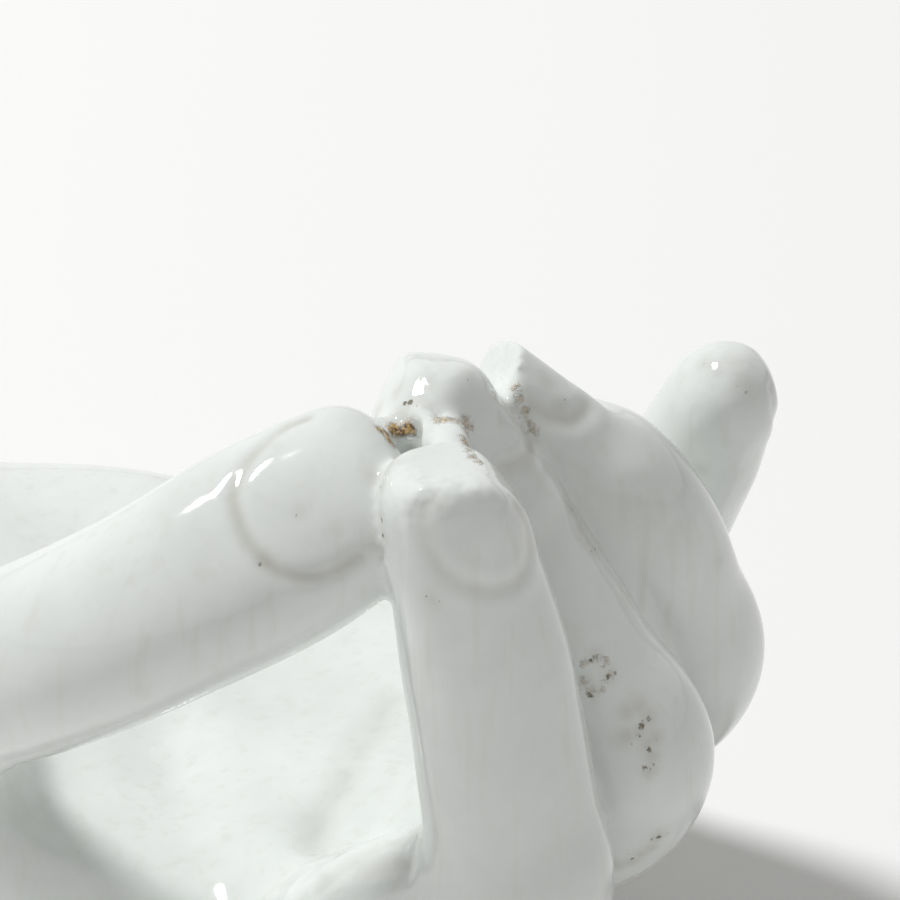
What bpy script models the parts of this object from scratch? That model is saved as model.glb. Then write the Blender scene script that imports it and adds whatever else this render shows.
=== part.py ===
# Hand-shaped incense holder: a life-size glazed ceramic hand that lies on its back, palm up.
# The thumb, index and middle fingertips meet round the gap that takes the incense stick.
# World frame in metres: the fingers point along -Y, the thumb is at -X and Z is up.
# The places below are measured from the table under the middle knuckle. The finished hand is
# moved at the end, so that the middle of its foot is the origin.
import math

import bmesh
import bpy
from mathutils import Matrix, Vector

# Fingers: the knuckle joint, the three bones to the tip, the bend in degrees at the three joints,
# the heading off -Y and the lean towards the thumb in degrees, the girth at the middle bone,
# and the compass heading that the nail faces.
FINGERS = {
    "index": {
        "knuckle": (-0.0203, 0.003, 0.015),
        "bones": (0.042, 0.026, 0.0265),
        "bends": (35, 60, 4),
        "heading": -3.5,
        "lean": 6,
        "girth": 0.0162,
        "nail_faces": -35,
    },
    "middle": {
        "knuckle": (-0.0015, 0.000, 0.015),
        "bones": (0.046, 0.0275, 0.0237),
        "bends": (43, 76, -5),
        "heading": -6,
        "lean": 10,
        "girth": 0.0156,
        "nail_faces": 6,
    },
    "ring": {
        "knuckle": (0.0187, 0.0036, 0.0155),
        "bones": (0.043, 0.0245, 0.0245),
        "bends": (48, 49, 33),
        "heading": -17,
        "lean": 21,
        "girth": 0.0152,
        "nail_faces": 12,
    },
    "little": {
        "knuckle": (0.038, 0.0135, 0.0165),
        "bones": (0.0335, 0.0195, 0.0187),
        "bends": (51, 17, 4),
        "heading": -17,
        "lean": 19,
        "girth": 0.0140,
        "nail_faces": 50,
    },
}

# Thumb: its root in the heel of the palm, its knuckle, its last joint and its tip.
THUMB_ROOT = (-0.022, 0.060, 0.018)
THUMB_KNUCKLE = (-0.040, 0.030, 0.049)
THUMB_JOINT = (-0.042, 0.000, 0.072)
THUMB_TIP = (-0.0222, -0.0170, 0.0852)
THUMB_GIRTH = 0.0185
THUMB_NAIL_FACES = (-0.67, -0.32, 0.67)

# Width and depth along a digit as shares of its girth. Place 0 is the root in the palm, and each
# joint after it adds 1: a finger's knuckle is 1, its tip 4, and the thumb's tip 3.
FINGER_WIDTHS = ((0, 1.80), (1.0, 1.75), (1.45, 1.20), (2.0, 1.25), (2.5, 1.07), (3.0, 1.03),
                 (3.6, 0.93), (4.0, 0.84))
FINGER_DEPTHS = ((0, 1.85), (1.0, 2.00), (1.45, 1.22), (2.0, 1.28), (2.5, 1.02), (3.0, 0.97),
                 (3.6, 0.90), (4.0, 0.80))
THUMB_WIDTHS = ((0, 1.45), (0.6, 1.35), (1.0, 1.20), (1.5, 1.05), (2.0, 1.06), (2.5, 1.10), (3.0, 0.96))
THUMB_DEPTHS = ((0, 1.40), (0.6, 1.30), (1.0, 1.20), (1.5, 1.02), (2.0, 0.97), (2.5, 0.92), (3.0, 0.80))
FINGER_BEND_RADII = (0.015, 0.008, 0.008)
THUMB_BEND_RADII = (0.012, 0.011)
ROOT_ROUNDING = 0.012
TIP_ROUNDING = 0.0075
END_BLUNTNESS = 2.3

# Nails: half their length, width and thickness and their setback from the tip as shares of the
# girth, how far they stand proud, and where on the last bone the flesh under them is measured.
NAIL_LENGTH = 0.50
NAIL_WIDTH = 0.47
NAIL_THICKNESS = 0.26
NAIL_SETBACK = 0.56
NAIL_PROUD = 0.0004
NAIL_BED = 0.6

# Palm: bones from the wrist to the knuckles, the muscles beside them and the floor of the palm.
# A muscle has its two ends, its half width, its half depth and how far it runs past its ends.
PALM_ROOT = (0.005, 0.074, 0.0150)
PALM_ROOT_SPREAD = 0.5
MUSCLES = {
    "thumb_muscle": ((-0.014, 0.070, 0.018), (-0.035, 0.030, 0.042), 0.0185, 0.0170, 0.004),
    "heel_muscle": ((0.025, 0.080, 0.018), (0.034, 0.018, 0.019), 0.0145, 0.0150, 0.006),
    "thumb_web": ((-0.036, 0.038, 0.030), (-0.020, 0.006, 0.019), 0.0085, 0.0105, 0.008),
    "palm_floor": ((0.006, 0.090, 0.0135), (0.008, -0.004, 0.0135), 0.0380, 0.0150, 0.0),
}

# Wrist: the place, width and depth of each section from inside the palm to its closed end.
WRIST_SECTIONS = (
    ((0.005, 0.028, 0.0150), 0.056, 0.024),
    ((0.004, 0.066, 0.0165), 0.062, 0.036),
    ((0.005, 0.092, 0.0180), 0.055, 0.040),
    ((0.005, 0.116, 0.0180), 0.053, 0.040),
)
WRIST_END_ROUNDING = 0.012

# Gap between the fingertips that holds the stick.
GAP_PLACE = (-0.0195, -0.0187)
GAP_MOUTH = 0.0062
GAP_FLOOR = 0.0056
GAP_TOP = 0.100
GAP_BOTTOM = 0.070

# Middle of the flat foot on the back of the hand.
FOOT_MIDDLE = (0.004, 0.060, 0.0)

# The palm ends below this height and behind this line, and eases into the digits.
PALM_TOP = 0.040
PALM_FRONT = 0.004
PALM_EASE = 0.016

SECTION_POINTS = 32
SECTION_SPACING = 0.0022
BEND_STEPS = 6
BALL_SEGMENTS = 40
BALL_RINGS = 24
TABLE_BLOCK = 0.4
UP = Vector((0, 0, 1))

# Casting: the grain in which the masses run together, and how far the slip and glaze round them.
CASTING_GRAIN = 0.0010
GLAZE_FILL = 0.0012
GLAZE_ROUNDING = 6
PALM_ROUNDING = 180
TRIANGLES = 11400
PINCH_ATTEMPTS = 4


def clear_scene():
    for old in list(bpy.data.objects):
        bpy.data.objects.remove(old, do_unlink=True)


def compass(degrees):
    angle = math.radians(degrees)
    return Vector((math.sin(angle), -math.cos(angle), 0))


def finger_joints(finger):
    """Joint places of a finger that bends in one plane."""
    forward = compass(-finger["heading"])
    to_thumb = Vector((forward.y, -forward.x, 0))
    lean = math.radians(finger["lean"])
    upward = Vector((0, 0, math.cos(lean))) + to_thumb * math.sin(lean)
    knuckle = Vector(finger["knuckle"])
    root = Vector(PALM_ROOT)
    root.x += (knuckle.x - root.x) * PALM_ROOT_SPREAD
    joints = [root, knuckle]
    angle = 0
    for bone, bend in zip(finger["bones"], finger["bends"]):
        angle += math.radians(bend)
        joints.append(joints[-1] + (forward * math.cos(angle) + upward * math.sin(angle)) * bone)
    return joints


def centre_line(joints, bend_radii):
    """Points along the bones with each joint rounded, and each point's place on the digit."""
    corners = [(joints[0], 0.0)]
    for number, bend_radius in enumerate(bend_radii, 1):
        joint = joints[number]
        back = joints[number - 1] - joint
        ahead = joints[number + 1] - joint
        start = joint + back.normalized() * bend_radius
        end = joint + ahead.normalized() * bend_radius
        for step in range(BEND_STEPS + 1):
            t = step / BEND_STEPS
            point = start * (1 - t) ** 2 + joint * 2 * t * (1 - t) + end * t ** 2
            place = number - bend_radius / back.length * (1 - t) ** 2 + bend_radius / ahead.length * t ** 2
            corners.append((point, place))
    corners.append((joints[-1], float(len(joints) - 1)))

    line = [corners[0]]
    for (a, low), (b, high) in zip(corners, corners[1:]):
        count = max(1, round((b - a).length / SECTION_SPACING))
        for step in range(1, count + 1):
            t = step / count
            line.append((a.lerp(b, t), low + (high - low) * t))
    return line


def along(shares, place):
    """The share at a place on a digit, eased between the listed ones."""
    for (low, first), (high, second) in zip(shares, shares[1:]):
        if place <= high:
            t = max(0.0, (place - low) / (high - low))
            return first + (second - first) * t * t * (3 - 2 * t)
    return shares[-1][1]


def section_frames(line, nail_faces):
    """Direction and nail side at each point, carried back from the tip without twisting."""
    directions = []
    for number in range(len(line)):
        before = line[max(0, number - 1)][0]
        after = line[min(len(line) - 1, number + 1)][0]
        directions.append((after - before).normalized())
    nail_side = nail_faces
    frames = []
    for direction in reversed(directions):
        nail_side = (nail_side - direction * nail_side.dot(direction)).normalized()
        frames.append((direction, nail_side))
    frames.reverse()
    return frames


def oval(centre, side, upward, half_width, half_depth):
    ring = []
    for number in range(SECTION_POINTS):
        angle = math.tau * number / SECTION_POINTS
        ring.append(centre + side * half_width * math.cos(angle) + upward * half_depth * math.sin(angle))
    return ring


def rounded_end(distance, length):
    """Share of the full section at a distance from a blunt, rounded end."""
    if distance >= length:
        return 1.0
    return max(0.001, 1 - ((length - distance) / length) ** END_BLUNTNESS) ** (1 / END_BLUNTNESS)


def add_shape(name, bm, collection):
    mesh = bpy.data.meshes.new(name)
    bm.to_mesh(mesh)
    bm.free()
    shape = bpy.data.objects.new(name, mesh)
    collection.objects.link(shape)
    return shape


def make_loft(name, rings, collection):
    """A closed skin over the rings."""
    bm = bmesh.new()
    loops = [[bm.verts.new(point) for point in ring] for ring in rings]
    for first, second in zip(loops, loops[1:]):
        for number in range(SECTION_POINTS):
            after = (number + 1) % SECTION_POINTS
            bm.faces.new((first[number], first[after], second[after], second[number]))
    bm.faces.new(list(reversed(loops[0])))
    bm.faces.new(loops[-1])
    bmesh.ops.recalc_face_normals(bm, faces=bm.faces)
    add_shape(name, bm, collection)


def make_digit(name, joints, girth, widths, depths, bend_radii, nail_faces, collection):
    line = centre_line(joints, bend_radii)
    frames = section_frames(line, nail_faces)
    rings = []
    for (point, place), (direction, nail_side) in zip(line, frames):
        share = min(rounded_end((point - joints[0]).length, ROOT_ROUNDING),
                    rounded_end((joints[-1] - point).length, TIP_ROUNDING))
        half_width = girth / 2 * along(widths, place) * share
        half_depth = girth / 2 * along(depths, place) * share
        rings.append(oval(point, direction.cross(nail_side), nail_side, half_width, half_depth))
    make_loft(name, rings, collection)
    bed_depth = girth / 2 * along(depths, len(joints) - 2 + NAIL_BED)
    make_nail(name + "_nail", joints, girth, bed_depth, nail_faces, collection)


def make_ellipsoid(name, centre, axes, radii, collection):
    """A ball stretched along three directions, such as a muscle or a nail."""
    bm = bmesh.new()
    bmesh.ops.create_uvsphere(bm, u_segments=BALL_SEGMENTS, v_segments=BALL_RINGS, radius=1.0)
    for vert in bm.verts:
        place = Vector(centre)
        for axis, radius, amount in zip(axes, radii, vert.co):
            place += axis * radius * amount
        vert.co = place
    bmesh.ops.recalc_face_normals(bm, faces=bm.faces)
    add_shape(name, bm, collection)


def make_nail(name, joints, girth, bed_depth, nail_faces, collection):
    direction = (joints[-1] - joints[-2]).normalized()
    outward = (nail_faces - direction * nail_faces.dot(direction)).normalized()
    side = direction.cross(outward)
    thickness = girth * NAIL_THICKNESS
    centre = joints[-1] - direction * girth * NAIL_SETBACK
    centre += outward * (bed_depth + NAIL_PROUD - thickness)
    radii = (girth * NAIL_LENGTH, girth * NAIL_WIDTH, thickness)
    make_ellipsoid(name, centre, (direction, side, outward), radii, collection)


def make_muscle(name, muscle, collection):
    """A muscle that swells between two points."""
    first, last, half_width, half_depth, overrun = muscle
    start = Vector(first)
    end = Vector(last)
    direction = (end - start).normalized()
    upward = (UP - direction * direction.z).normalized()
    axes = (direction, direction.cross(upward), upward)
    radii = ((end - start).length / 2 + overrun, half_width, half_depth)
    make_ellipsoid(name, (start + end) / 2, axes, radii, collection)


def make_wrist(collection):
    places = [Vector(section[0]) for section in WRIST_SECTIONS]
    rings = []
    for number in range(len(places) - 1):
        span = (places[number + 1] - places[number]).length
        steps = round(span / SECTION_SPACING)
        for step in range(steps + (number == len(places) - 2)):
            t = step / steps
            centre = places[number].lerp(places[number + 1], t)
            eased = t * t * (3 - 2 * t)
            width = WRIST_SECTIONS[number][1] * (1 - eased) + WRIST_SECTIONS[number + 1][1] * eased
            depth = WRIST_SECTIONS[number][2] * (1 - eased) + WRIST_SECTIONS[number + 1][2] * eased
            share = min(rounded_end((centre - places[0]).length, WRIST_END_ROUNDING),
                        rounded_end((places[-1] - centre).length, WRIST_END_ROUNDING))
            rings.append(oval(centre, Vector((1, 0, 0)), UP, width / 2 * share, depth / 2 * share))
    make_loft("wrist", rings, collection)


def make_cutter(name, collection, mesh_maker):
    bm = bmesh.new()
    mesh_maker(bm)
    cutter = add_shape(name, bm, collection)
    cutter.hide_render = True
    cutter.display_type = "WIRE"
    return cutter


def stick_gap_shape(bm):
    bmesh.ops.create_cone(bm, cap_ends=True, segments=24, radius1=GAP_FLOOR / 2, radius2=GAP_MOUTH / 2,
                          depth=GAP_TOP - GAP_BOTTOM)
    bmesh.ops.translate(bm, vec=(*GAP_PLACE, (GAP_TOP + GAP_BOTTOM) / 2), verts=bm.verts)


def below_table_shape(bm):
    bmesh.ops.create_cube(bm, size=TABLE_BLOCK)
    bmesh.ops.translate(bm, vec=(0, 0, -TABLE_BLOCK / 2), verts=bm.verts)


def cast_hand(shapes, cutters, model):
    """Runs the masses together, opens the stick gap, rounds the skin and flattens the foot."""
    joined = bmesh.new()
    for shape in shapes.objects:
        joined.from_mesh(shape.data)
    hand = add_shape("hand", joined, model)
    for name, skin_shift in (("swell", GLAZE_FILL), ("shrink", -GLAZE_FILL)):
        shift = hand.modifiers.new(name, "DISPLACE")
        shift.mid_level = 0
        shift.strength = skin_shift
        remesh = hand.modifiers.new(name + " casting", "REMESH")
        remesh.mode = "VOXEL"
        remesh.voxel_size = CASTING_GRAIN
        settle = hand.modifiers.new(name + " settle", "SMOOTH")
        settle.iterations = GLAZE_ROUNDING
    gap = hand.modifiers.new("stick gap", "BOOLEAN")
    gap.object = make_cutter("stick_gap", cutters, stick_gap_shape)
    run_together(hand)

    palm = hand.vertex_groups.new(name="palm")
    for vert in hand.data.vertices:
        palm.add([vert.index], palm_share(vert.co), "REPLACE")
    skin = hand.modifiers.new("glaze rounding", "SMOOTH")
    skin.iterations = GLAZE_ROUNDING
    soft = hand.modifiers.new("palm rounding", "SMOOTH")
    soft.iterations = PALM_ROUNDING
    soft.vertex_group = "palm"
    run_together(hand)

    fewer = hand.modifiers.new("triangles", "DECIMATE")
    fewer.ratio = TRIANGLES / sum(len(face.vertices) - 2 for face in hand.data.polygons)
    run_together(hand)
    mend_pinches(hand.data)

    foot = hand.modifiers.new("foot", "BOOLEAN")
    foot.object = make_cutter("below_table", cutters, below_table_shape)
    run_together(hand)
    hand.data.transform(Matrix.Translation(-Vector(FOOT_MIDDLE)))
    return hand


def run_together(piece):
    """Replaces a piece's mesh by what its modifiers give, and clears them."""
    bpy.context.view_layer.update()
    evaluated = piece.evaluated_get(bpy.context.evaluated_depsgraph_get())
    mesh = bpy.data.meshes.new_from_object(evaluated)
    piece.modifiers.clear()
    piece.data = mesh


def mend_pinches(mesh):
    """Opens each spot where the skin touches itself along an edge, and closes it as a small facet."""
    bm = bmesh.new()
    bm.from_mesh(mesh)
    for attempt in range(PINCH_ATTEMPTS):
        pinched = {vert for edge in bm.edges if len(edge.link_faces) != 2 for vert in edge.verts}
        pinched |= {vert for vert in bm.verts if not vert.is_manifold}
        if not pinched:
            break
        bmesh.ops.delete(bm, geom=list(pinched), context="VERTS")
        bmesh.ops.holes_fill(bm, edges=[edge for edge in bm.edges if edge.is_boundary], sides=0)
        bmesh.ops.triangulate(bm, faces=[face for face in bm.faces if len(face.verts) > 3])
    bmesh.ops.recalc_face_normals(bm, faces=bm.faces)
    bm.to_mesh(mesh)
    bm.free()


def palm_share(place):
    """1 in the palm and wrist, easing to 0 where the fingers and the thumb stand free."""
    above = max(0.0, place.z - PALM_TOP) / PALM_EASE
    ahead = max(0.0, PALM_FRONT - place.y) / PALM_EASE
    return max(0.0, 1.0 - math.hypot(above, ahead))


def glazed_ceramic():
    material = bpy.data.materials.new("glazed ceramic")
    material.use_nodes = True
    shader = material.node_tree.nodes["Principled BSDF"]
    shader.inputs["Base Color"].default_value = (0.74, 0.77, 0.76, 1)
    shader.inputs["Roughness"].default_value = 0.12
    shader.inputs["Metallic"].default_value = 0.0
    return material


clear_scene()
model = bpy.data.collections.new("hand incense holder")
cutters = bpy.data.collections.new("cutters")
shapes = bpy.data.collections.new("masses")
for collection in (model, cutters, shapes):
    bpy.context.scene.collection.children.link(collection)

for finger_name, finger in FINGERS.items():
    make_digit(finger_name, finger_joints(finger), finger["girth"], FINGER_WIDTHS, FINGER_DEPTHS,
               FINGER_BEND_RADII, compass(finger["nail_faces"]), shapes)
thumb_joints = [Vector(place) for place in (THUMB_ROOT, THUMB_KNUCKLE, THUMB_JOINT, THUMB_TIP)]
make_digit("thumb", thumb_joints, THUMB_GIRTH, THUMB_WIDTHS, THUMB_DEPTHS,
           THUMB_BEND_RADII, Vector(THUMB_NAIL_FACES), shapes)
for muscle_name, muscle in MUSCLES.items():
    make_muscle(muscle_name, muscle, shapes)
make_wrist(shapes)

hand = cast_hand(shapes, cutters, model)
hand.data.materials.clear()
hand.data.materials.append(glazed_ceramic())
for shape in list(shapes.objects):
    bpy.data.objects.remove(shape, do_unlink=True)
bpy.data.collections.remove(shapes)
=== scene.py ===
import math

import bpy
import numpy as np
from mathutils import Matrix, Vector


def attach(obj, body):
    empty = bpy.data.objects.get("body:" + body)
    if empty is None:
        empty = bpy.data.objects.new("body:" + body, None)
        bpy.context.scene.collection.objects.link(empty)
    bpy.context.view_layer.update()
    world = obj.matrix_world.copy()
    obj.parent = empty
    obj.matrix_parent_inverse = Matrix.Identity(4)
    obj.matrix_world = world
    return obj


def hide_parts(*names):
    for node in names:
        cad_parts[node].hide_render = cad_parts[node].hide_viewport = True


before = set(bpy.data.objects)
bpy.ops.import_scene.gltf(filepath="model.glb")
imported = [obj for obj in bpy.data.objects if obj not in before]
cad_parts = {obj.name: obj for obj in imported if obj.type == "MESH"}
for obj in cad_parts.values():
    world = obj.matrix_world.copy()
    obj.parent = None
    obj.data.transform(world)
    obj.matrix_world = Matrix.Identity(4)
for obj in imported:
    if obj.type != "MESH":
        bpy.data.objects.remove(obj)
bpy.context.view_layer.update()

mm = 0.001


def linearColour(hexText):  # sRGB hex, such as "e8ecea", to the linear values a shader wants
    steps = [int(hexText[i:i + 2], 16) / 255 for i in (0, 2, 4)]
    return [s / 12.92 if s <= 0.04045 else ((s + 0.055) / 1.055) ** 2.4 for s in steps] + [1.0]


# Settings and links go by the input's name or number, and a link is (node, its output socket)
def addNode(tree, kind, settings=None, links=None):
    node = tree.nodes.new(kind)
    for name, value in (settings or {}).items():
        if isinstance(name, int) or name in node.inputs:
            node.inputs[name].default_value = value
        else:
            setattr(node, name, value)
    for name, (source, output) in (links or {}).items():
        tree.links.new(source.outputs[output], node.inputs[name])
    return node


def onlySelect(piece):
    bpy.ops.object.select_all(action="DESELECT")
    piece.select_set(True)
    bpy.context.view_layer.objects.active = piece


def applyModifier(piece, kind, **settings):
    onlySelect(piece)
    bpy.ops.object.modifier_add(type=kind)
    modifier = piece.modifiers[-1]
    for name, value in settings.items():
        setattr(modifier, name, value)
    bpy.ops.object.modifier_apply(modifier=modifier.name)


# Camera: looks down over the thumb at the fingertips, close and with a long lens
cameraSet = {"aim": (20.0, -47.2, 54.6), "azimuth": -56, "elevation": 31, "distance": 600,
             "lens": 225.6, "shiftX": 0.05, "shiftY": -0.0111}


def placeCamera(setup):
    azimuth, elevation = math.radians(setup["azimuth"]), math.radians(setup["elevation"])
    away = Vector((math.sin(azimuth) * math.cos(elevation), -math.cos(azimuth) * math.cos(elevation),
                   math.sin(elevation)))
    bpy.ops.object.camera_add(location=(Vector(setup["aim"]) + away * setup["distance"]) * mm)
    camera = bpy.context.object
    camera.rotation_euler = (-away).to_track_quat("-Z", "Y").to_euler()
    camera.data.sensor_width = 36
    camera.data.lens = setup["lens"]
    camera.data.shift_x = setup["shiftX"]
    camera.data.shift_y = setup["shiftY"]
    camera.data.clip_start = 0.01
    bpy.context.scene.camera = camera


placeCamera(cameraSet)
print("camera placed")


def readSkin(piece):
    count = len(piece.data.vertices) * 3
    places, facing = np.empty(count, np.float32), np.empty(count, np.float32)
    piece.data.vertices.foreach_get("co", places)
    piece.data.vertex_normals.foreach_get("vector", facing)
    return places.reshape(-1, 3) / mm, facing.reshape(-1, 3)


def writeSkin(piece, places):
    piece.data.vertices.foreach_set("co", (places * mm).astype(np.float32).ravel())
    piece.data.update()


def bump(distance, width):
    return np.exp(-(distance / width) ** 2)


def ease(value):
    value = np.clip(value, 0, 1)
    return value * value * (3 - 2 * value)


def unit(vector):
    vector = np.asarray(vector, float)
    return vector / np.linalg.norm(vector)


# Glazed hand. The palm and wrist come from the cast shape, and the digits are drawn again so that
# they meet in crisp lines. All in mm: joints from the knuckle to the tip, girth, side of the nail,
# how far the last bone narrows, how blunt and how long its rounded end is, how often it is smoothed,
# and the flats pressed on the soft tip, each a place on it and the side that it faces
digits = {
    "index": {
        "joints": [(-24.3, -57.0, 15.0), (-24.7, -91.5, 39.0), (-27.6, -89.4, 64.7), (-30.8, -84.9, 92.6)],
        "girth": 16.2, "nail": (-0.574, -0.819, 0), "taper": 0.08,
        "blunt": 2.8, "endLength": 5.0, "rounding": 28,
        "flats": [((-33.6, -90.1, 90.6), (0.14, 0.1, 0.99)),
                  ((-28.6, -89.6, 89.4), (0.54, -0.5, 0.67)),
                  ((-33.6, -82.1, 89.5), (-0.52, 0.59, 0.62))],
    },
    "middle": {
        "joints": [(-5.5, -60.0, 15.0), (-7.4, -93.6, 45.9), (-12.9, -81.2, 69.6), (-17.4, -70.7, 92.2)],
        "girth": 15.6, "nail": (0.105, -0.995, 0), "taper": 0.13,
        "blunt": 2.5, "endLength": 6.0, "rounding": 16,
        "flats": [((-15.7, -69.5, 87.1), (-0.47, 0.72, 0.51)),
                  ((-11.7, -71.7, 88.7), (0.28, 0.14, 0.95)),
                  ((-15.8, -80.0, 87.4), (-0.03, -0.92, 0.38)),
                  ((-19.2, -75.6, 89.3), (-0.57, -0.02, 0.82)),
                  ((-19.0, -77.0, 90.4), (-0.1, -0.1, 0.99))],
    },
    "ring": {
        "joints": [(14.7, -56.4, 15.5), (13.0, -86.8, 44.8), (4.4, -86.1, 67.1), (-8.9, -70.5, 88.3)],
        "girth": 15.2, "nail": (0.208, -0.978, 0), "taper": 0.1,
        "blunt": 2.3, "endLength": 5.0, "rounding": 24,
        "flats": [((-4.85, -76.15, 85.75), (-0.62, 0.67, 0.41)),
                  ((-3.5, -79.6, 86.7), (0.76, -0.12, 0.64)),
                  ((-5.2, -80.7, 84.7), (-0.23, -0.82, 0.53))],
    },
    "little": {
        "joints": [(34.0, -46.5, 16.5), (32.1, -69.1, 41.1), (28.6, -77.8, 58.2), (24.7, -85.1, 74.4)],
        "girth": 13.6, "nail": (0.766, -0.643, 0), "taper": 0.08,
        "blunt": 2.3, "endLength": 7.5, "rounding": 13,
        "flats": [],
    },
    "thumb": {
        "joints": [(-44.0, -30.0, 49.0), (-45.4, -60.1, 71.4), (-24.8, -78.2, 84.4)],
        "girth": 18.5, "nail": (-0.67, -0.32, 0.67), "taper": 0.0,
        "blunt": 2.6, "endLength": 6.0, "rounding": 13,
        "flats": [],
    },
}

# The hole that an incense stick stands in, between the tips of the thumb, index and middle finger
stickHole = {"centre": (-23.9, -77.0, 81.0), "radius": 1.6, "depth": 20.0, "sides": 32}

# Width and depth as shares of the girth, at places counted in joints from the knuckle
fingerShape = [(0, 1.75, 2.00), (0.45, 1.20, 1.22), (1.0, 1.25, 1.28), (1.5, 1.07, 1.02),
               (2.0, 1.03, 0.97), (2.6, 0.93, 0.90), (3.0, 0.84, 0.80)]
thumbShape = [(0, 1.20, 1.20), (0.5, 1.05, 1.02), (1.0, 1.06, 0.97), (1.5, 1.13, 0.93), (2.0, 0.98, 0.82)]

# How the skin is made, in mm or counts of smoothing: the solid under it, the joined hand, then the digits
castingSet = {"solidGrain": 1.0, "solidRounding": 12, "shrink": 2.4,
              "grain": 0.52, "roughGrain": 0.9, "rounding": 5, "palmRounding": 160, "triangles": 190000,
              "start": 0.15, "step": 1.2, "sides": 40, "rootShare": 0.72, "rootLength": 15,
              "fingerBend": 8.0, "thumbBend": 11.0, "bendPoints": 8,
              "tipGrain": 0.7, "tipSoftness": 0.7, "tipReach": 15.0, "tipFade": 6.0}
# Where the drawn digits take over from the solid: height and forward place, each with its ease, in mm
digitZone = {"height": 52, "heightEase": 14, "ahead": -56, "aheadEase": 16}

# Beads of glaze that bridge the fingertips: two ends and the radius, all in mm
glazeBeads = [
    ((-20.6, -76.0, 88.0), (-24.4, -81.0, 86.6), 1.4),
    ((-19.0, -78.4, 86.2), (-27.4, -84.4, 87.2), 2.1),
    ((-22.6, -73.0, 86.0), (-26.4, -75.6, 85.4), 1.7),
    ((-21.0, -75.4, 83.6), (-26.5, -80.5, 83.0), 2.4),
]


def boneLine(joints, setup):  # points along the bones with their place in joints, bent at the joints
    joints = [Vector(joint) for joint in joints]
    first, bends = setup["start"], setup["bendPoints"]
    reach = setup["thumbBend"] if len(joints) == 3 else setup["fingerBend"]
    corners = [(joints[0].lerp(joints[1], first), first)]
    for number in range(1, len(joints) - 1):
        back, ahead = joints[number - 1] - joints[number], joints[number + 1] - joints[number]
        for step in range(bends + 1):
            t = step / bends
            point = (joints[number] + back.normalized() * reach * (1 - t) ** 2
                     + ahead.normalized() * reach * t ** 2)
            place = number - reach / back.length * (1 - t) ** 2 + reach / ahead.length * t ** 2
            corners.append((point, place))
    corners.append((joints[-1], len(joints) - 1.0))
    line = [corners[0]]
    for (a, low), (b, high) in zip(corners, corners[1:]):
        count = max(1, round((b - a).length / setup["step"]))
        line += [(a.lerp(b, step / count), low + (high - low) * step / count)
                 for step in range(1, count + 1)]
    return line


def shapeAt(shape, place):
    for (low, wide, deep), (high, wider, deeper) in zip(shape, shape[1:]):
        if place <= high:
            t = (place - low) / (high - low)
            t = t * t * (3 - 2 * t)
            return wide + (wider - wide) * t, deep + (deeper - deep) * t
    return shape[-1][1:]


def squarish(value):  # flatter sides than an oval's
    return math.copysign(abs(value) ** 0.92, value)


def drawDigit(name, digit, setup):
    line = boneLine(digit["joints"], setup)
    sides = setup["sides"]
    shape = thumbShape if name == "thumb" else fingerShape
    points = [point for point, place in line]
    nailSide = Vector(digit["nail"])
    rings = []
    for number in reversed(range(len(line))):  # the nail side is carried back from the tip
        point, place = line[number]
        direction = (points[min(number + 1, len(points) - 1)] - points[max(number - 1, 0)]).normalized()
        nailSide = (nailSide - direction * nailSide.dot(direction)).normalized()
        wide, deep = shapeAt(shape, place)
        fromTip = min(1.0, (points[-1] - point).length / digit["endLength"])
        share = max(0.02, 1 - (1 - fromTip) ** digit["blunt"]) ** (1 / digit["blunt"])
        grown = float(ease((point - points[0]).length / setup["rootLength"]))
        share *= setup["rootShare"] + (1 - setup["rootShare"]) * grown
        share *= 1 - digit["taper"] * max(0, place - len(digit["joints"]) + 2) ** 1.5
        side = direction.cross(nailSide) * digit["girth"] / 2 * wide * share
        out = nailSide * digit["girth"] / 2 * deep * share
        turns = [math.tau * i / sides for i in range(sides)]
        rings.append([point + side * squarish(math.cos(turn)) + out * squarish(math.sin(turn))
                      for turn in turns])
    places = [tuple(spot * mm) for ring in rings for spot in ring]
    rows = [[r * sides + i for i in range(sides)] for r in range(len(rings))]
    faces = [(low[i], low[(i + 1) % sides], high[(i + 1) % sides], high[i])
             for low, high in zip(rows, rows[1:]) for i in range(sides)]
    faces += [tuple(reversed(rows[0])), tuple(rows[-1])]
    mesh = bpy.data.meshes.new(name)
    mesh.from_pydata(places, [], faces)
    piece = bpy.data.objects.new(name, mesh)
    bpy.context.scene.collection.objects.link(piece)
    onlySelect(piece)
    bpy.ops.object.mode_set(mode="EDIT")
    bpy.ops.mesh.select_all(action="SELECT")
    bpy.ops.mesh.normals_make_consistent(inside=False)
    bpy.ops.object.mode_set(mode="OBJECT")
    applyModifier(piece, "REMESH", mode="VOXEL", voxel_size=setup["tipGrain"] * mm)
    places, facing = readSkin(piece)
    for middle, outward in digit["flats"]:
        away = places - np.asarray(middle)
        beyond = away @ unit(outward)
        pressed = (beyond + np.hypot(beyond, setup["tipSoftness"])) / 2
        near = ease((setup["tipReach"] - np.linalg.norm(away, axis=1)) / setup["tipFade"])
        places = places - unit(outward) * (pressed * near)[:, None]
    writeSkin(piece, places)
    applyModifier(piece, "SMOOTH", factor=0.5, iterations=digit["rounding"])
    return piece


def digitShare(piece):  # 0 in the palm and wrist, easing to 1 where the digits stand free
    places, facing = readSkin(piece)
    above = np.maximum(0, places[:, 2] - digitZone["height"]) / digitZone["heightEase"]
    ahead = np.maximum(0, digitZone["ahead"] - places[:, 1]) / digitZone["aheadEase"]
    return np.minimum(1, np.hypot(above, ahead))


def weigh(piece, name, weights):
    group = piece.vertex_groups.new(name=name)
    for number, weight in enumerate(weights.tolist()):
        group.add([number], weight, "REPLACE")


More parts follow.
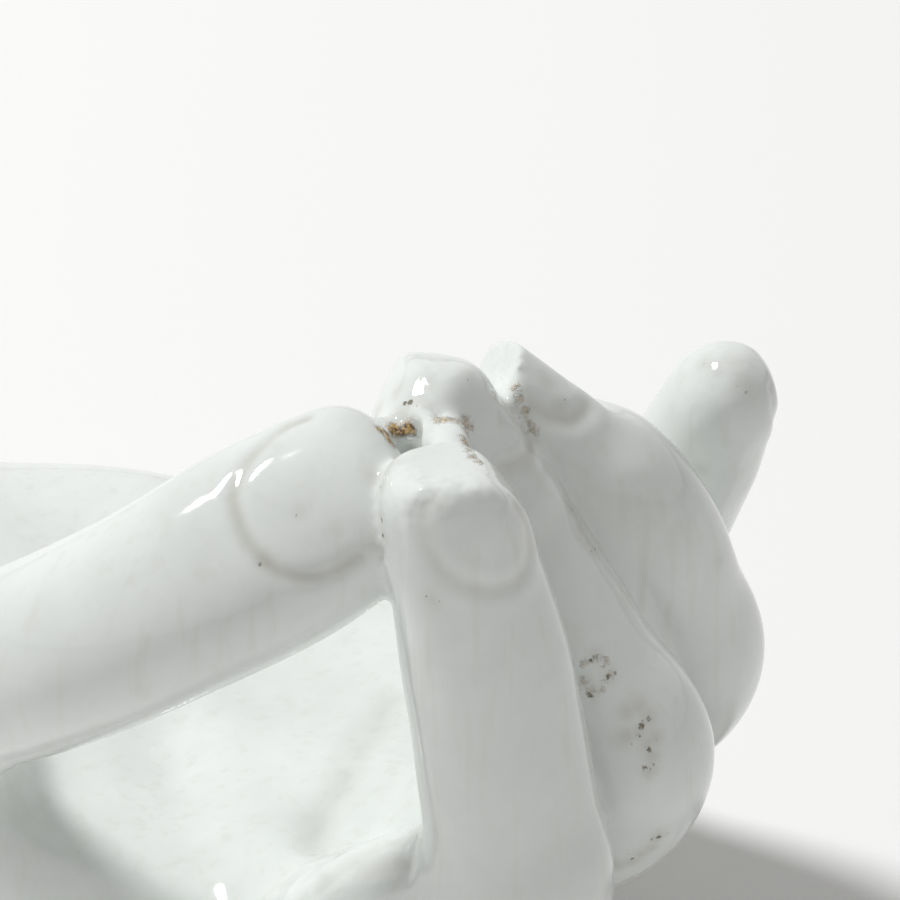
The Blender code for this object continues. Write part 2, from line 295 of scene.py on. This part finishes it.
def keepLargest(piece, name):  # the remesh can leave a speck inside, so only the largest shell stays
    onlySelect(piece)
    bpy.ops.object.mode_set(mode="EDIT")
    bpy.ops.mesh.select_all(action="SELECT")
    bpy.ops.mesh.separate(type="LOOSE")
    bpy.ops.object.mode_set(mode="OBJECT")
    shells = sorted(bpy.context.selected_objects, key=lambda shell: len(shell.data.vertices))
    for shell in shells[:-1]:
        bpy.data.objects.remove(shell)
    shells[-1].name = name
    return shells[-1]


def castSkin(setup):
    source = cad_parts["hand"]
    hand = source.copy()
    hand.data = source.data.copy()
    hand.name = "glazedHand"
    bpy.context.scene.collection.objects.link(hand)
    onlySelect(hand)
    bpy.ops.object.mode_set(mode="EDIT")
    bpy.ops.mesh.select_all(action="SELECT")
    bpy.ops.mesh.remove_doubles(threshold=0.00001)
    bpy.ops.object.mode_set(mode="OBJECT")
    applyModifier(hand, "REMESH", mode="VOXEL", voxel_size=setup["solidGrain"] * mm)
    applyModifier(hand, "SMOOTH", factor=0.5, iterations=setup["solidRounding"])
    weigh(hand, "digits", digitShare(hand))
    applyModifier(hand, "DISPLACE", strength=-setup["shrink"] * mm, mid_level=0, vertex_group="digits")
    hand.vertex_groups.clear()

    masses = [drawDigit(name, digit, setup) for name, digit in digits.items()]
    for first, last, radius in glazeBeads:
        begin, end = Vector(first) * mm, Vector(last) * mm
        turn = (end - begin).to_track_quat("Z", "Y").to_euler()
        bpy.ops.mesh.primitive_uv_sphere_add(segments=24, ring_count=16, radius=radius * mm,
                                             location=(begin + end) / 2, rotation=turn)
        bead = bpy.context.object
        bead.scale.z = (end - begin).length / 2 / (radius * mm) + 0.6
        masses.append(bead)
    bpy.ops.mesh.primitive_cylinder_add(vertices=stickHole["sides"], radius=stickHole["radius"] * mm,
                                        depth=stickHole["depth"] * mm,
                                        location=Vector(stickHole["centre"]) * mm)
    drill = bpy.context.object
    for mass in masses:
        applyModifier(mass, "BOOLEAN", operation="DIFFERENCE", object=drill)
    bpy.data.objects.remove(drill)
    bpy.ops.object.select_all(action="DESELECT")
    for mass in masses:
        mass.select_set(True)
    hand.select_set(True)
    bpy.context.view_layer.objects.active = hand
    bpy.ops.object.join()
    grain = setup["grain"]
    fineness = (setup["grain"] / grain) ** 2
    applyModifier(hand, "REMESH", mode="VOXEL", voxel_size=grain * mm)
    hand = keepLargest(hand, "glazedHand")
    applyModifier(hand, "SMOOTH", factor=0.5, iterations=max(1, round(setup["rounding"] * fineness)))
    weigh(hand, "palm", 1 - digitShare(hand))
    applyModifier(hand, "SMOOTH", factor=0.5, iterations=round(setup["palmRounding"] * fineness),
                  vertex_group="palm")
    hand.vertex_groups.clear()
    return hand


glazedHand = castSkin(castingSet)
print("casting", len(glazedHand.data.vertices), "points")


# Lines in the skin: the borders of the nails, soft folds and creases. Each goes through places in mm
# on the skin, with the width and depth of its groove, the height of the lips beside it, and how much
# shade is painted into it as a darker grey
skinLines = {
    "thumbNail": {
        "points": [(-30.2, -69.9, 89.7), (-31.4, -68.7, 89.1), (-33.1, -68.1, 88.6), (-34.7, -67.8, 88.1),
                   (-36.3, -67.5, 87.5), (-37.9, -67.6, 86.7), (-39.1, -67.8, 86.0), (-40.2, -68.2, 85.3),
                   (-41.2, -69.3, 84.3), (-41.8, -70.4, 83.3), (-42.2, -71.6, 82.3), (-42.3, -73.1, 81.2),
                   (-41.9, -74.8, 80.1), (-40.9, -76.4, 79.6), (-39.6, -77.7, 79.6), (-38.0, -79.0, 80.1),
                   (-36.5, -80.0, 81.0)],
        "width": 0.9, "depth": 0.15, "lips": 0.04, "grooveShade": 0.8,
    },
    "indexNail": {
        "points": [(-35.8, -87.8, 89.6), (-36.4, -87.4, 88.6), (-36.6, -87.3, 87.1), (-36.6, -87.8, 84.7),
                   (-36.3, -89.1, 82.6), (-35.4, -90.7, 81.2), (-33.3, -92.8, 80.1), (-31.2, -93.9, 79.9),
                   (-29.3, -94.2, 80.7), (-28.1, -93.8, 82.2), (-27.5, -93.0, 84.4), (-28.3, -92.3, 86.6)],
        "width": 1.0, "depth": 0.1, "lips": 0.07, "grooveShade": 0.35,
    },
    "middleNail": {
        "points": [(-15.8, -82.4, 81.1), (-13.2, -82.8, 80.4), (-10.9, -82.7, 80.4), (-8.6, -81.5, 80.4),
                   (-8.5, -80.7, 81.9), (-9.4, -79.4, 83.9), (-12.0, -79.4, 86.8)],
        "width": 1.1, "depth": 0.14, "lips": 0.1, "grooveShade": 0.55,
    },
    "ringNail": {
        "points": [(-7.4, -80.4, 83.5), (-6.1, -81.9, 81.8), (-4.0, -83.1, 80.9), (-1.6, -83.4, 81.2)],
        "width": 1.1, "depth": 0.15, "lips": 0.12, "grooveShade": 0.55,
    },
    "littleNail": {
        "points": [(28.8, -89.5, 74.6), (27.2, -89.6, 71.6), (26.9, -88.9, 68.6), (28.6, -87.2, 66.0),
                   (31.0, -84.6, 66.4), (32.4, -82.8, 69.2), (32.0, -82.6, 72.4), (30.6, -83.8, 75.4)],
        "width": 0.9, "depth": 0.14, "lips": 0.08, "grooveShade": 0.3,
    },
    "ringFold": {
        "points": [(-4.7, -86.4, 74.3), (-4.0, -87.5, 72.7), (-3.4, -88.5, 70.9), (-2.3, -89.7, 68.5),
                   (-1.1, -90.7, 65.9)],
        "width": 2.6, "depth": 0.16, "lips": 0.1, "grooveShade": 0.1,
    },
    "ringFoldShort": {
        "points": [(-1.3, -89.5, 72.5), (-0.6, -90.5, 70.8), (0.4, -91.4, 68.8)],
        "width": 2.0, "depth": 0.12, "lips": 0.08, "grooveShade": 0.1,
    },
    "palmCrease": {
        "points": [(7.8, -53.2, 30.4), (0.5, -55.3, 30.1), (-8.0, -58.6, 31.1), (-14.1, -60.2, 30.2),
                   (-20.1, -62.5, 31.1)],
        "width": 2.0, "depth": 0.35, "lips": 0.14, "grooveShade": 0.5,
    },
    "indexBase": {
        "points": [(-27.5, -72.9, 37.8), (-26.8, -75.8, 40.2), (-27.5, -79.9, 43.2)],
        "width": 1.5, "depth": 0.28, "lips": 0.16, "grooveShade": 0.4,
    },
    "indexBaseLow": {
        "points": [(-29.6, -70.4, 34.6), (-28.6, -73.3, 37.6), (-30.7, -82.0, 43.2)],
        "width": 1.5, "depth": 0.26, "lips": 0.15, "grooveShade": 0.4,
    },
    "webFold": {
        "points": [(-8.7, -35.2, 29.6), (-15.1, -41.4, 29.8), (-21.6, -48.3, 30.5), (-26.8, -54.1, 30.2),
                   (-29.9, -58.5, 29.0)],
        "width": 4.5, "depth": 0.9, "lips": 0.55, "grooveShade": 0.06,
    },
}


# Cross-section of a line, as shares of its width, and how far off the skin its places may lie, in mm
lineForm = {"groove": 0.8, "lip": 0.9, "lipPlace": 1.7, "offSkin": 2.5, "farAway": 1000.0}


def carveLine(places, facing, grooveShade, line, form):
    points = np.asarray(line["points"], float)
    nearest = np.full(len(places), form["farAway"])
    for first, last in zip(points[:-1], points[1:]):
        span = last - first
        t = np.clip(((places - first) @ span) / (span @ span), 0, 1)
        gap = places - (first + t[:, None] * span)
        height = np.sum(gap * facing, axis=1)
        across = np.linalg.norm(gap - facing * height[:, None], axis=1)
        across = np.where(np.abs(height) < form["offSkin"], across, form["farAway"])
        nearest = np.minimum(nearest, across)
    width = line["width"]
    groove = bump(nearest, width * form["groove"])
    lips = bump(nearest - width * form["lipPlace"], width * form["lip"])
    # painted shade: the groove's darkening is added here, strongest along its middle
    grooveShade += line["grooveShade"] * groove
    return places + facing * (line["lips"] * lips - line["depth"] * groove)[:, None]


def sculptHand(piece):
    places, facing = readSkin(piece)
    grooveShade = np.zeros(len(places))
    for line in skinLines.values():
        places = carveLine(places, facing, grooveShade, line, lineForm)
    writeSkin(piece, places)
    # painted shade of the grooves and creases, which the glaze reads as a darker grey-green
    layer = piece.data.attributes.new("paintedGrooveShade", "FLOAT", "POINT")
    layer.data.foreach_set("value", np.clip(grooveShade, 0, 1).astype(np.float32))


def thinFaces(piece, setup):  # keeps the digits fine and lets the palm and wrist have larger faces
    count = sum(len(face.vertices) - 2 for face in piece.data.polygons)
    if count > setup["triangles"]:
        weigh(piece, "keep", 0.25 + 0.75 * digitShare(piece))
        applyModifier(piece, "DECIMATE", ratio=setup["triangles"] / count, vertex_group="keep",
                      invert_vertex_group=True, vertex_group_factor=1.0)
        piece.vertex_groups.clear()


sculptHand(glazedHand)
thinFaces(glazedHand, castingSet)
onlySelect(glazedHand)
bpy.ops.object.shade_smooth()
print("hand sculpted")


# Marks in the glaze, painted on the skin: radius in mm, strength and places in mm
stains = [
    (0.9, 1.2, [(-26.6, -75.8, 88.5), (-25.4, -75.6, 87.6), (-23.6, -75.1, 86.8), (-22.8, -75.3, 86.4),
                (-22.4, -75.7, 86.5), (-22.2, -76.3, 86.6), (-26.5, -76.8, 87.6), (-22.8, -75.0, 86.6)]),
    (1.1, 0.8, [(-21.6, -79.3, 88.4), (-21.0, -79.7, 88.3), (-20.7, -80.3, 88.2), (-19.8, -80.5, 87.6),
                (-18.1, -80.1, 86.3), (-20.8, -81.9, 87.4), (-23.3, -83.3, 88.2)]),
    (0.8, 0.7, [(-25.5, -85.0, 89.0), (-26.4, -86.1, 89.0), (-26.9, -87.1, 89.0)]),
    (0.8, 0.65, [(-8.0, -79.0, 85.2), (-8.2, -79.7, 84.1), (-8.2, -80.3, 83.0), (-8.1, -80.9, 82.0),
                 (-8.1, -81.2, 81.2)]),
    (0.8, 0.55, [(-15.7, -92.4, 62.0), (-14.6, -92.9, 62.5), (-13.8, -93.6, 61.8), (-13.8, -94.1, 60.5),
                 (-14.9, -94.0, 59.5), (-15.8, -93.3, 59.3), (-16.2, -92.6, 60.4)]),
]
pitGroups = [
    (0.9, 0.9, [(-9.3, -86.2, 74.8), (-8.5, -86.3, 73.7), (-9.3, -87.6, 72.5), (-9.0, -88.2, 71.3),
                (-8.6, -88.6, 70.4)]),
    (1.1, 1.0, [(-13.7, -96.2, 56.8), (-12.4, -96.8, 57.0), (-12.1, -97.6, 56.0), (-13.5, -97.5, 54.8),
                (-14.7, -96.7, 54.7), (-12.4, -98.6, 53.9), (-13.2, -98.3, 53.6)]),
    (0.9, 1.0, [(-13.2, -98.8, 52.3), (-13.7, -98.9, 51.0)]),
    (1.1, 1.0, [(-14.1, -95.5, 38.4), (-13.2, -96.8, 38.9), (-13.0, -97.8, 40.1), (-12.4, -98.6, 40.8),
                (-12.4, -99.2, 42.2)]),
    (0.9, 1.0, [(-25.5, -89.3, 87.0), (-26.3, -91.0, 86.3), (-25.5, -88.6, 87.4)]),
    (1.1, 0.9, [(-32.2, -78.9, 87.4), (-33.7, -80.6, 87.4), (-35.0, -81.5, 85.3), (-35.1, -81.3, 82.0),
                (-32.3, -80.3, 88.5), (-31.4, -80.4, 89.0), (-35.3, -82.0, 83.5)]),
    (1.2, 0.9, [(-18.9, -70.3, 85.1), (-19.0, -72.5, 87.9), (-21.4, -74.8, 87.6), (-22.0, -74.0, 87.0),
                (-20.8, -75.3, 88.3), (-20.4, -76.2, 88.7)]),
    (1.3, 0.7, [(23.4, -82.0, 73.9), (23.2, -83.3, 73.9), (23.5, -86.3, 72.7), (24.3, -84.2, 74.4)]),
    (0.9, 0.6, [(-18.2, -75.8, 89.7), (-14.4, -78.0, 89.7), (-4.7, -80.4, 84.7), (-4.4, -82.0, 82.6),
                (-42.3, -73.1, 81.2), (-38.1, -74.5, 85.0), (-36.5, -88.2, 79.1), (21.5, -82.8, 62.2),
                (7.7, -93.6, 62.3)]),
    (0.9, 0.8, [(-14.6, -92.9, 62.5), (-13.8, -94.1, 60.5), (-15.8, -93.3, 59.3), (-16.2, -92.6, 60.4)]),
]
unevenGlaze = [
    (2.4, 1.0, [(-34.0, -84.2, 89.8), (-35.3, -86.2, 90.1), (-35.0, -88.0, 90.1), (-33.0, -88.6, 90.0),
                (-36.3, -86.3, 89.3)]),
    (2.0, 0.6, [(-4.1, -74.4, 84.9), (-4.9, -74.5, 84.0)]),
    (2.2, 0.35, [(-17.9, -74.3, 89.8), (-16.1, -74.5, 90.1)]),
    (2.0, 0.5, [(-23.2, -78.6, 88.4), (-24.5, -80.1, 87.9)]),
    (3.5, 0.3, [(23.6, -83.0, 74.1)]),
]


def paintMarks(piece, name, marks):
    places, facing = readSkin(piece)
    value = np.zeros(len(places))
    for radius, strength, centres in marks:
        for centre in centres:
            value = np.maximum(value, strength * bump(np.linalg.norm(places - centre, axis=1), radius))
    layer = piece.data.attributes.new(name, "FLOAT", "POINT")
    layer.data.foreach_set("value", value.astype(np.float32))


paintMarks(glazedHand, "kilnStain", stains)
paintMarks(glazedHand, "pinholes", pitGroups)
paintMarks(glazedHand, "unevenGlaze", unevenGlaze)

# Glazed earthenware: slip cast, white tin glaze fired glossy. It gives sharp highlights over a slightly
# uneven skin, dark pinholes and brown stains in the joins; the grooves carry a grey-green painted shade
glazeSet = {"colours": {"lit": "e9ecea", "thin": "dbdedb", "streak": "d3d4cb", "grooveShade": "b3b0a4",
                        "pit": "7a7460", "stain": "c9a76c", "stainDark": "63492a"},
            "ior": 1.5, "roughness": 0.06, "stainRoughness": 0.55}


def makeGlaze(setup):
    material = bpy.data.materials.new("glazedEarthenware")
    material.use_nodes = True
    tree = material.node_tree
    shader = tree.nodes["Principled BSDF"]
    shader.inputs["IOR"].default_value = setup["ior"]
    colour = {name: linearColour(hexText) for name, hexText in setup["colours"].items()}
    place = addNode(tree, "ShaderNodeTexCoord")
    here = {"Vector": (place, "Object")}
    # the painted shade of the grooves and creases, as painted on the skin
    grooveShade = addNode(tree, "ShaderNodeAttribute", {"attribute_name": "paintedGrooveShade"})
    stained = addNode(tree, "ShaderNodeAttribute", {"attribute_name": "kilnStain"})
    pitted = addNode(tree, "ShaderNodeAttribute", {"attribute_name": "pinholes"})
    uneven = addNode(tree, "ShaderNodeAttribute", {"attribute_name": "unevenGlaze"})

    # slow change of glaze thickness, patches about 20 mm across with finer mottling inside them
    thickness = addNode(tree, "ShaderNodeTexNoise", {"Scale": 50.0, "Detail": 6.0, "Roughness": 0.62}, here)
    depth = addNode(tree, "ShaderNodeMapRange", {"From Min": 0.3, "From Max": 0.7},
                    {"Value": (thickness, "Fac")})
    mottled = addNode(tree, "ShaderNodeMix", {"data_type": "RGBA", "A": colour["lit"], "B": colour["thin"]},
                      {"Factor": (depth, "Result")})

    # faint runs of thin glaze down the upright fingers, about 1.5 mm apart and 20 mm long
    stretched = addNode(tree, "ShaderNodeMapping", {"Scale": (1.0, 1.0, 0.08)}, here)
    runs = addNode(tree, "ShaderNodeTexNoise", {"Scale": 650.0, "Detail": 2.0},
                   {"Vector": (stretched, "Vector")})
    runShare = addNode(tree, "ShaderNodeMapRange", {"From Min": 0.55, "From Max": 0.75, "To Max": 0.35},
                       {"Value": (runs, "Fac")})
    body = addNode(tree, "ShaderNodeMix", {"data_type": "RGBA", "B": colour["streak"]},
                   {"Factor": (runShare, "Result"), "A": (mottled, "Result")})

    # painted shade in the grooves and creases, broken up at about 4 mm, and a faint smudge round the
    # pinholes
    mottle = addNode(tree, "ShaderNodeTexNoise", {"Scale": 250.0, "Detail": 2.0}, here)
    patchy = addNode(tree, "ShaderNodeMapRange",
                     {"From Min": 0.3, "From Max": 0.7, "To Min": 0.35, "To Max": 0.75},
                     {"Value": (mottle, "Fac")})
    grooveShading = addNode(tree, "ShaderNodeMath", {"operation": "MULTIPLY"},
                      {0: (grooveShade, "Fac"), 1: (patchy, "Result")})
    shadeAndSmudge = addNode(tree, "ShaderNodeMath", {"operation": "MULTIPLY_ADD", "use_clamp": True, 1: 0.4},
                      {0: (pitted, "Fac"), 2: (grooveShading, "Value")})
    shadedAndSmudged = addNode(tree, "ShaderNodeMix", {"data_type": "RGBA", "B": colour["grooveShade"]},
                     {"Factor": (shadeAndSmudge, "Value"), "A": (body, "Result")})

    # pinholes: a few everywhere, many in the painted groups, 0.2 to 0.6 mm across
    ragged = addNode(tree, "ShaderNodeTexNoise", {"Scale": 3500.0, "Detail": 1.0}, here)
    shifted = addNode(tree, "ShaderNodeVectorMath",
                      {"operation": "MULTIPLY_ADD", 1: (0.0006, 0.0006, 0.0006)},
                      {0: (ragged, "Color"), 2: (place, "Object")})
    dots = addNode(tree, "ShaderNodeTexVoronoi", {"Scale": 950.0, "Randomness": 1.0},
                   {"Vector": (shifted, "Vector")})
    reach = addNode(tree, "ShaderNodeMapRange", {"To Min": 0.02, "To Max": 0.62},
                    {"Value": (pitted, "Fac")})
    spread = addNode(tree, "ShaderNodeSeparateColor", {}, {"Color": (dots, "Color")})
    sized = addNode(tree, "ShaderNodeMath", {"operation": "MULTIPLY"},
                    {0: (reach, "Result"), 1: (spread, "Red")})
    inPit = addNode(tree, "ShaderNodeMath", {"operation": "SUBTRACT"},
                    {0: (sized, "Value"), 1: (dots, "Distance")})
    pit = addNode(tree, "ShaderNodeMapRange", {"From Max": 0.16}, {"Value": (inPit, "Value")})
    holed = addNode(tree, "ShaderNodeMix", {"data_type": "RGBA", "B": colour["pit"]},
                    {"Factor": (pit, "Result"), "A": (shadedAndSmudged, "Result")})

    # brown stain, granular at about 0.3 mm
    grains = addNode(tree, "ShaderNodeTexNoise", {"Scale": 1500.0, "Detail": 3.0, "Roughness": 0.7}, here)
    stainEdge = addNode(tree, "ShaderNodeMath", {"operation": "MULTIPLY_ADD", 1: 1.2},
                        {0: (grains, "Fac"), 2: (stained, "Fac")})
    stain = addNode(tree, "ShaderNodeMapRange", {"From Min": 0.95, "From Max": 1.6},
                    {"Value": (stainEdge, "Value")})
    speckle = addNode(tree, "ShaderNodeTexNoise", {"Scale": 2600.0, "Detail": 2.0}, here)
    speckled = addNode(tree, "ShaderNodeMapRange", {"From Min": 0.42, "From Max": 0.58},
                       {"Value": (speckle, "Fac")})
    stainTone = addNode(tree, "ShaderNodeMix",
                        {"data_type": "RGBA", "A": colour["stainDark"], "B": colour["stain"]},
                        {"Factor": (speckled, "Result")})
    marked = addNode(tree, "ShaderNodeMix", {"data_type": "RGBA"},
                     {"Factor": (stain, "Result"), "A": (holed, "Result"), "B": (stainTone, "Result")})
    tree.links.new(marked.outputs["Result"], shader.inputs["Base Color"])
    rough = addNode(tree, "ShaderNodeMapRange",
                    {"To Min": setup["roughness"], "To Max": setup["stainRoughness"]},
                    {"Value": (stain, "Result")})
    tree.links.new(rough.outputs["Result"], shader.inputs["Roughness"])

    # the glaze's uneven skin: waves about 8 mm long and a finer ripple about 2 mm long
    waves = addNode(tree, "ShaderNodeTexNoise", {"Scale": 120.0, "Detail": 1.0}, here)
    ripple = addNode(tree, "ShaderNodeTexNoise", {"Scale": 450.0, "Detail": 1.0}, here)
    wavy = addNode(tree, "ShaderNodeBump", {"Strength": 0.16, "Distance": 0.0006},
                   {"Height": (waves, "Fac")})
    ripples = addNode(tree, "ShaderNodeMapRange", {"To Min": 0.03}, {"Value": (uneven, "Fac")})
    rippled = addNode(tree, "ShaderNodeBump", {"Distance": 0.0007},
                      {"Height": (ripple, "Fac"), "Strength": (ripples, "Result"),
                       "Normal": (wavy, "Normal")})
    sunk = addNode(tree, "ShaderNodeBump", {"Strength": 0.6, "Distance": 0.0003, "invert": True},
                   {"Height": (pit, "Result"), "Normal": (rippled, "Normal")})
    grainy = addNode(tree, "ShaderNodeBump", {"Strength": 0.7, "Distance": 0.0004},
                     {"Height": (stain, "Result"), "Normal": (sunk, "Normal")})
    tree.links.new(grainy.outputs["Normal"], shader.inputs["Normal"])
    return material


glazedHand.data.materials.clear()
glazedHand.data.materials.append(makeGlaze(glazeSet))
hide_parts("hand")
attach(glazedHand, "root")
print("glaze on,", sum(len(face.vertices) - 2 for face in glazedHand.data.polygons), "triangles")


# Studio: a pale floor, one softbox high up behind the hand and an even pale room
studioSet = {"floor": "f7f6f5", "sky": 0.37, "seenSky": 0.9, "towards": (-0.1, 0.495, 0.863), "away": 2.0,
             "aim": (-0.02, -0.07, 0.06), "width": 0.4, "power": 29.8}


def makeStudio(setup):
    bpy.ops.mesh.primitive_plane_add(size=8, location=(0, 0, 0))
    floor = bpy.context.object
    floor.name = "studioFloor"
    paper = bpy.data.materials.new("mattPaper")
    paper.use_nodes = True
    shader = paper.node_tree.nodes["Principled BSDF"]
    shader.inputs["Base Color"].default_value = linearColour(setup["floor"])
    shader.inputs["Roughness"].default_value = 0.9
    shader.inputs["Specular IOR Level"].default_value = 0.1
    floor.data.materials.append(paper)

    world = bpy.data.worlds.new("paleRoom")
    bpy.context.scene.world = world
    world.use_nodes = True
    tree = world.node_tree
    room = tree.nodes["Background"]
    room.inputs["Color"].default_value = (1.0, 0.995, 0.98, 1.0)
    path = addNode(tree, "ShaderNodeLightPath")
    seen = addNode(tree, "ShaderNodeMath", {"operation": "MAXIMUM"},
                   {0: (path, "Is Camera Ray"), 1: (path, "Is Glossy Ray")})
    level = addNode(tree, "ShaderNodeMapRange", {"To Min": setup["sky"], "To Max": setup["seenSky"]},
                    {"Value": (seen, "Value")})
    tree.links.new(level.outputs["Result"], room.inputs["Strength"])

    towards = Vector(setup["towards"]).normalized()
    bpy.ops.object.light_add(type="AREA", location=towards * setup["away"] + Vector(setup["aim"]))
    lamp = bpy.context.object
    lamp.name = "softbox"
    lamp.rotation_euler = (-towards).to_track_quat("-Z", "Y").to_euler()
    lamp.data.shape = "DISK"
    lamp.data.size = setup["width"]
    lamp.data.energy = setup["power"]
    lamp.data.color = (0.98, 1.0, 1.0)


makeStudio(studioSet)
bpy.context.scene.view_settings.view_transform = "Standard"
print("studio lit")
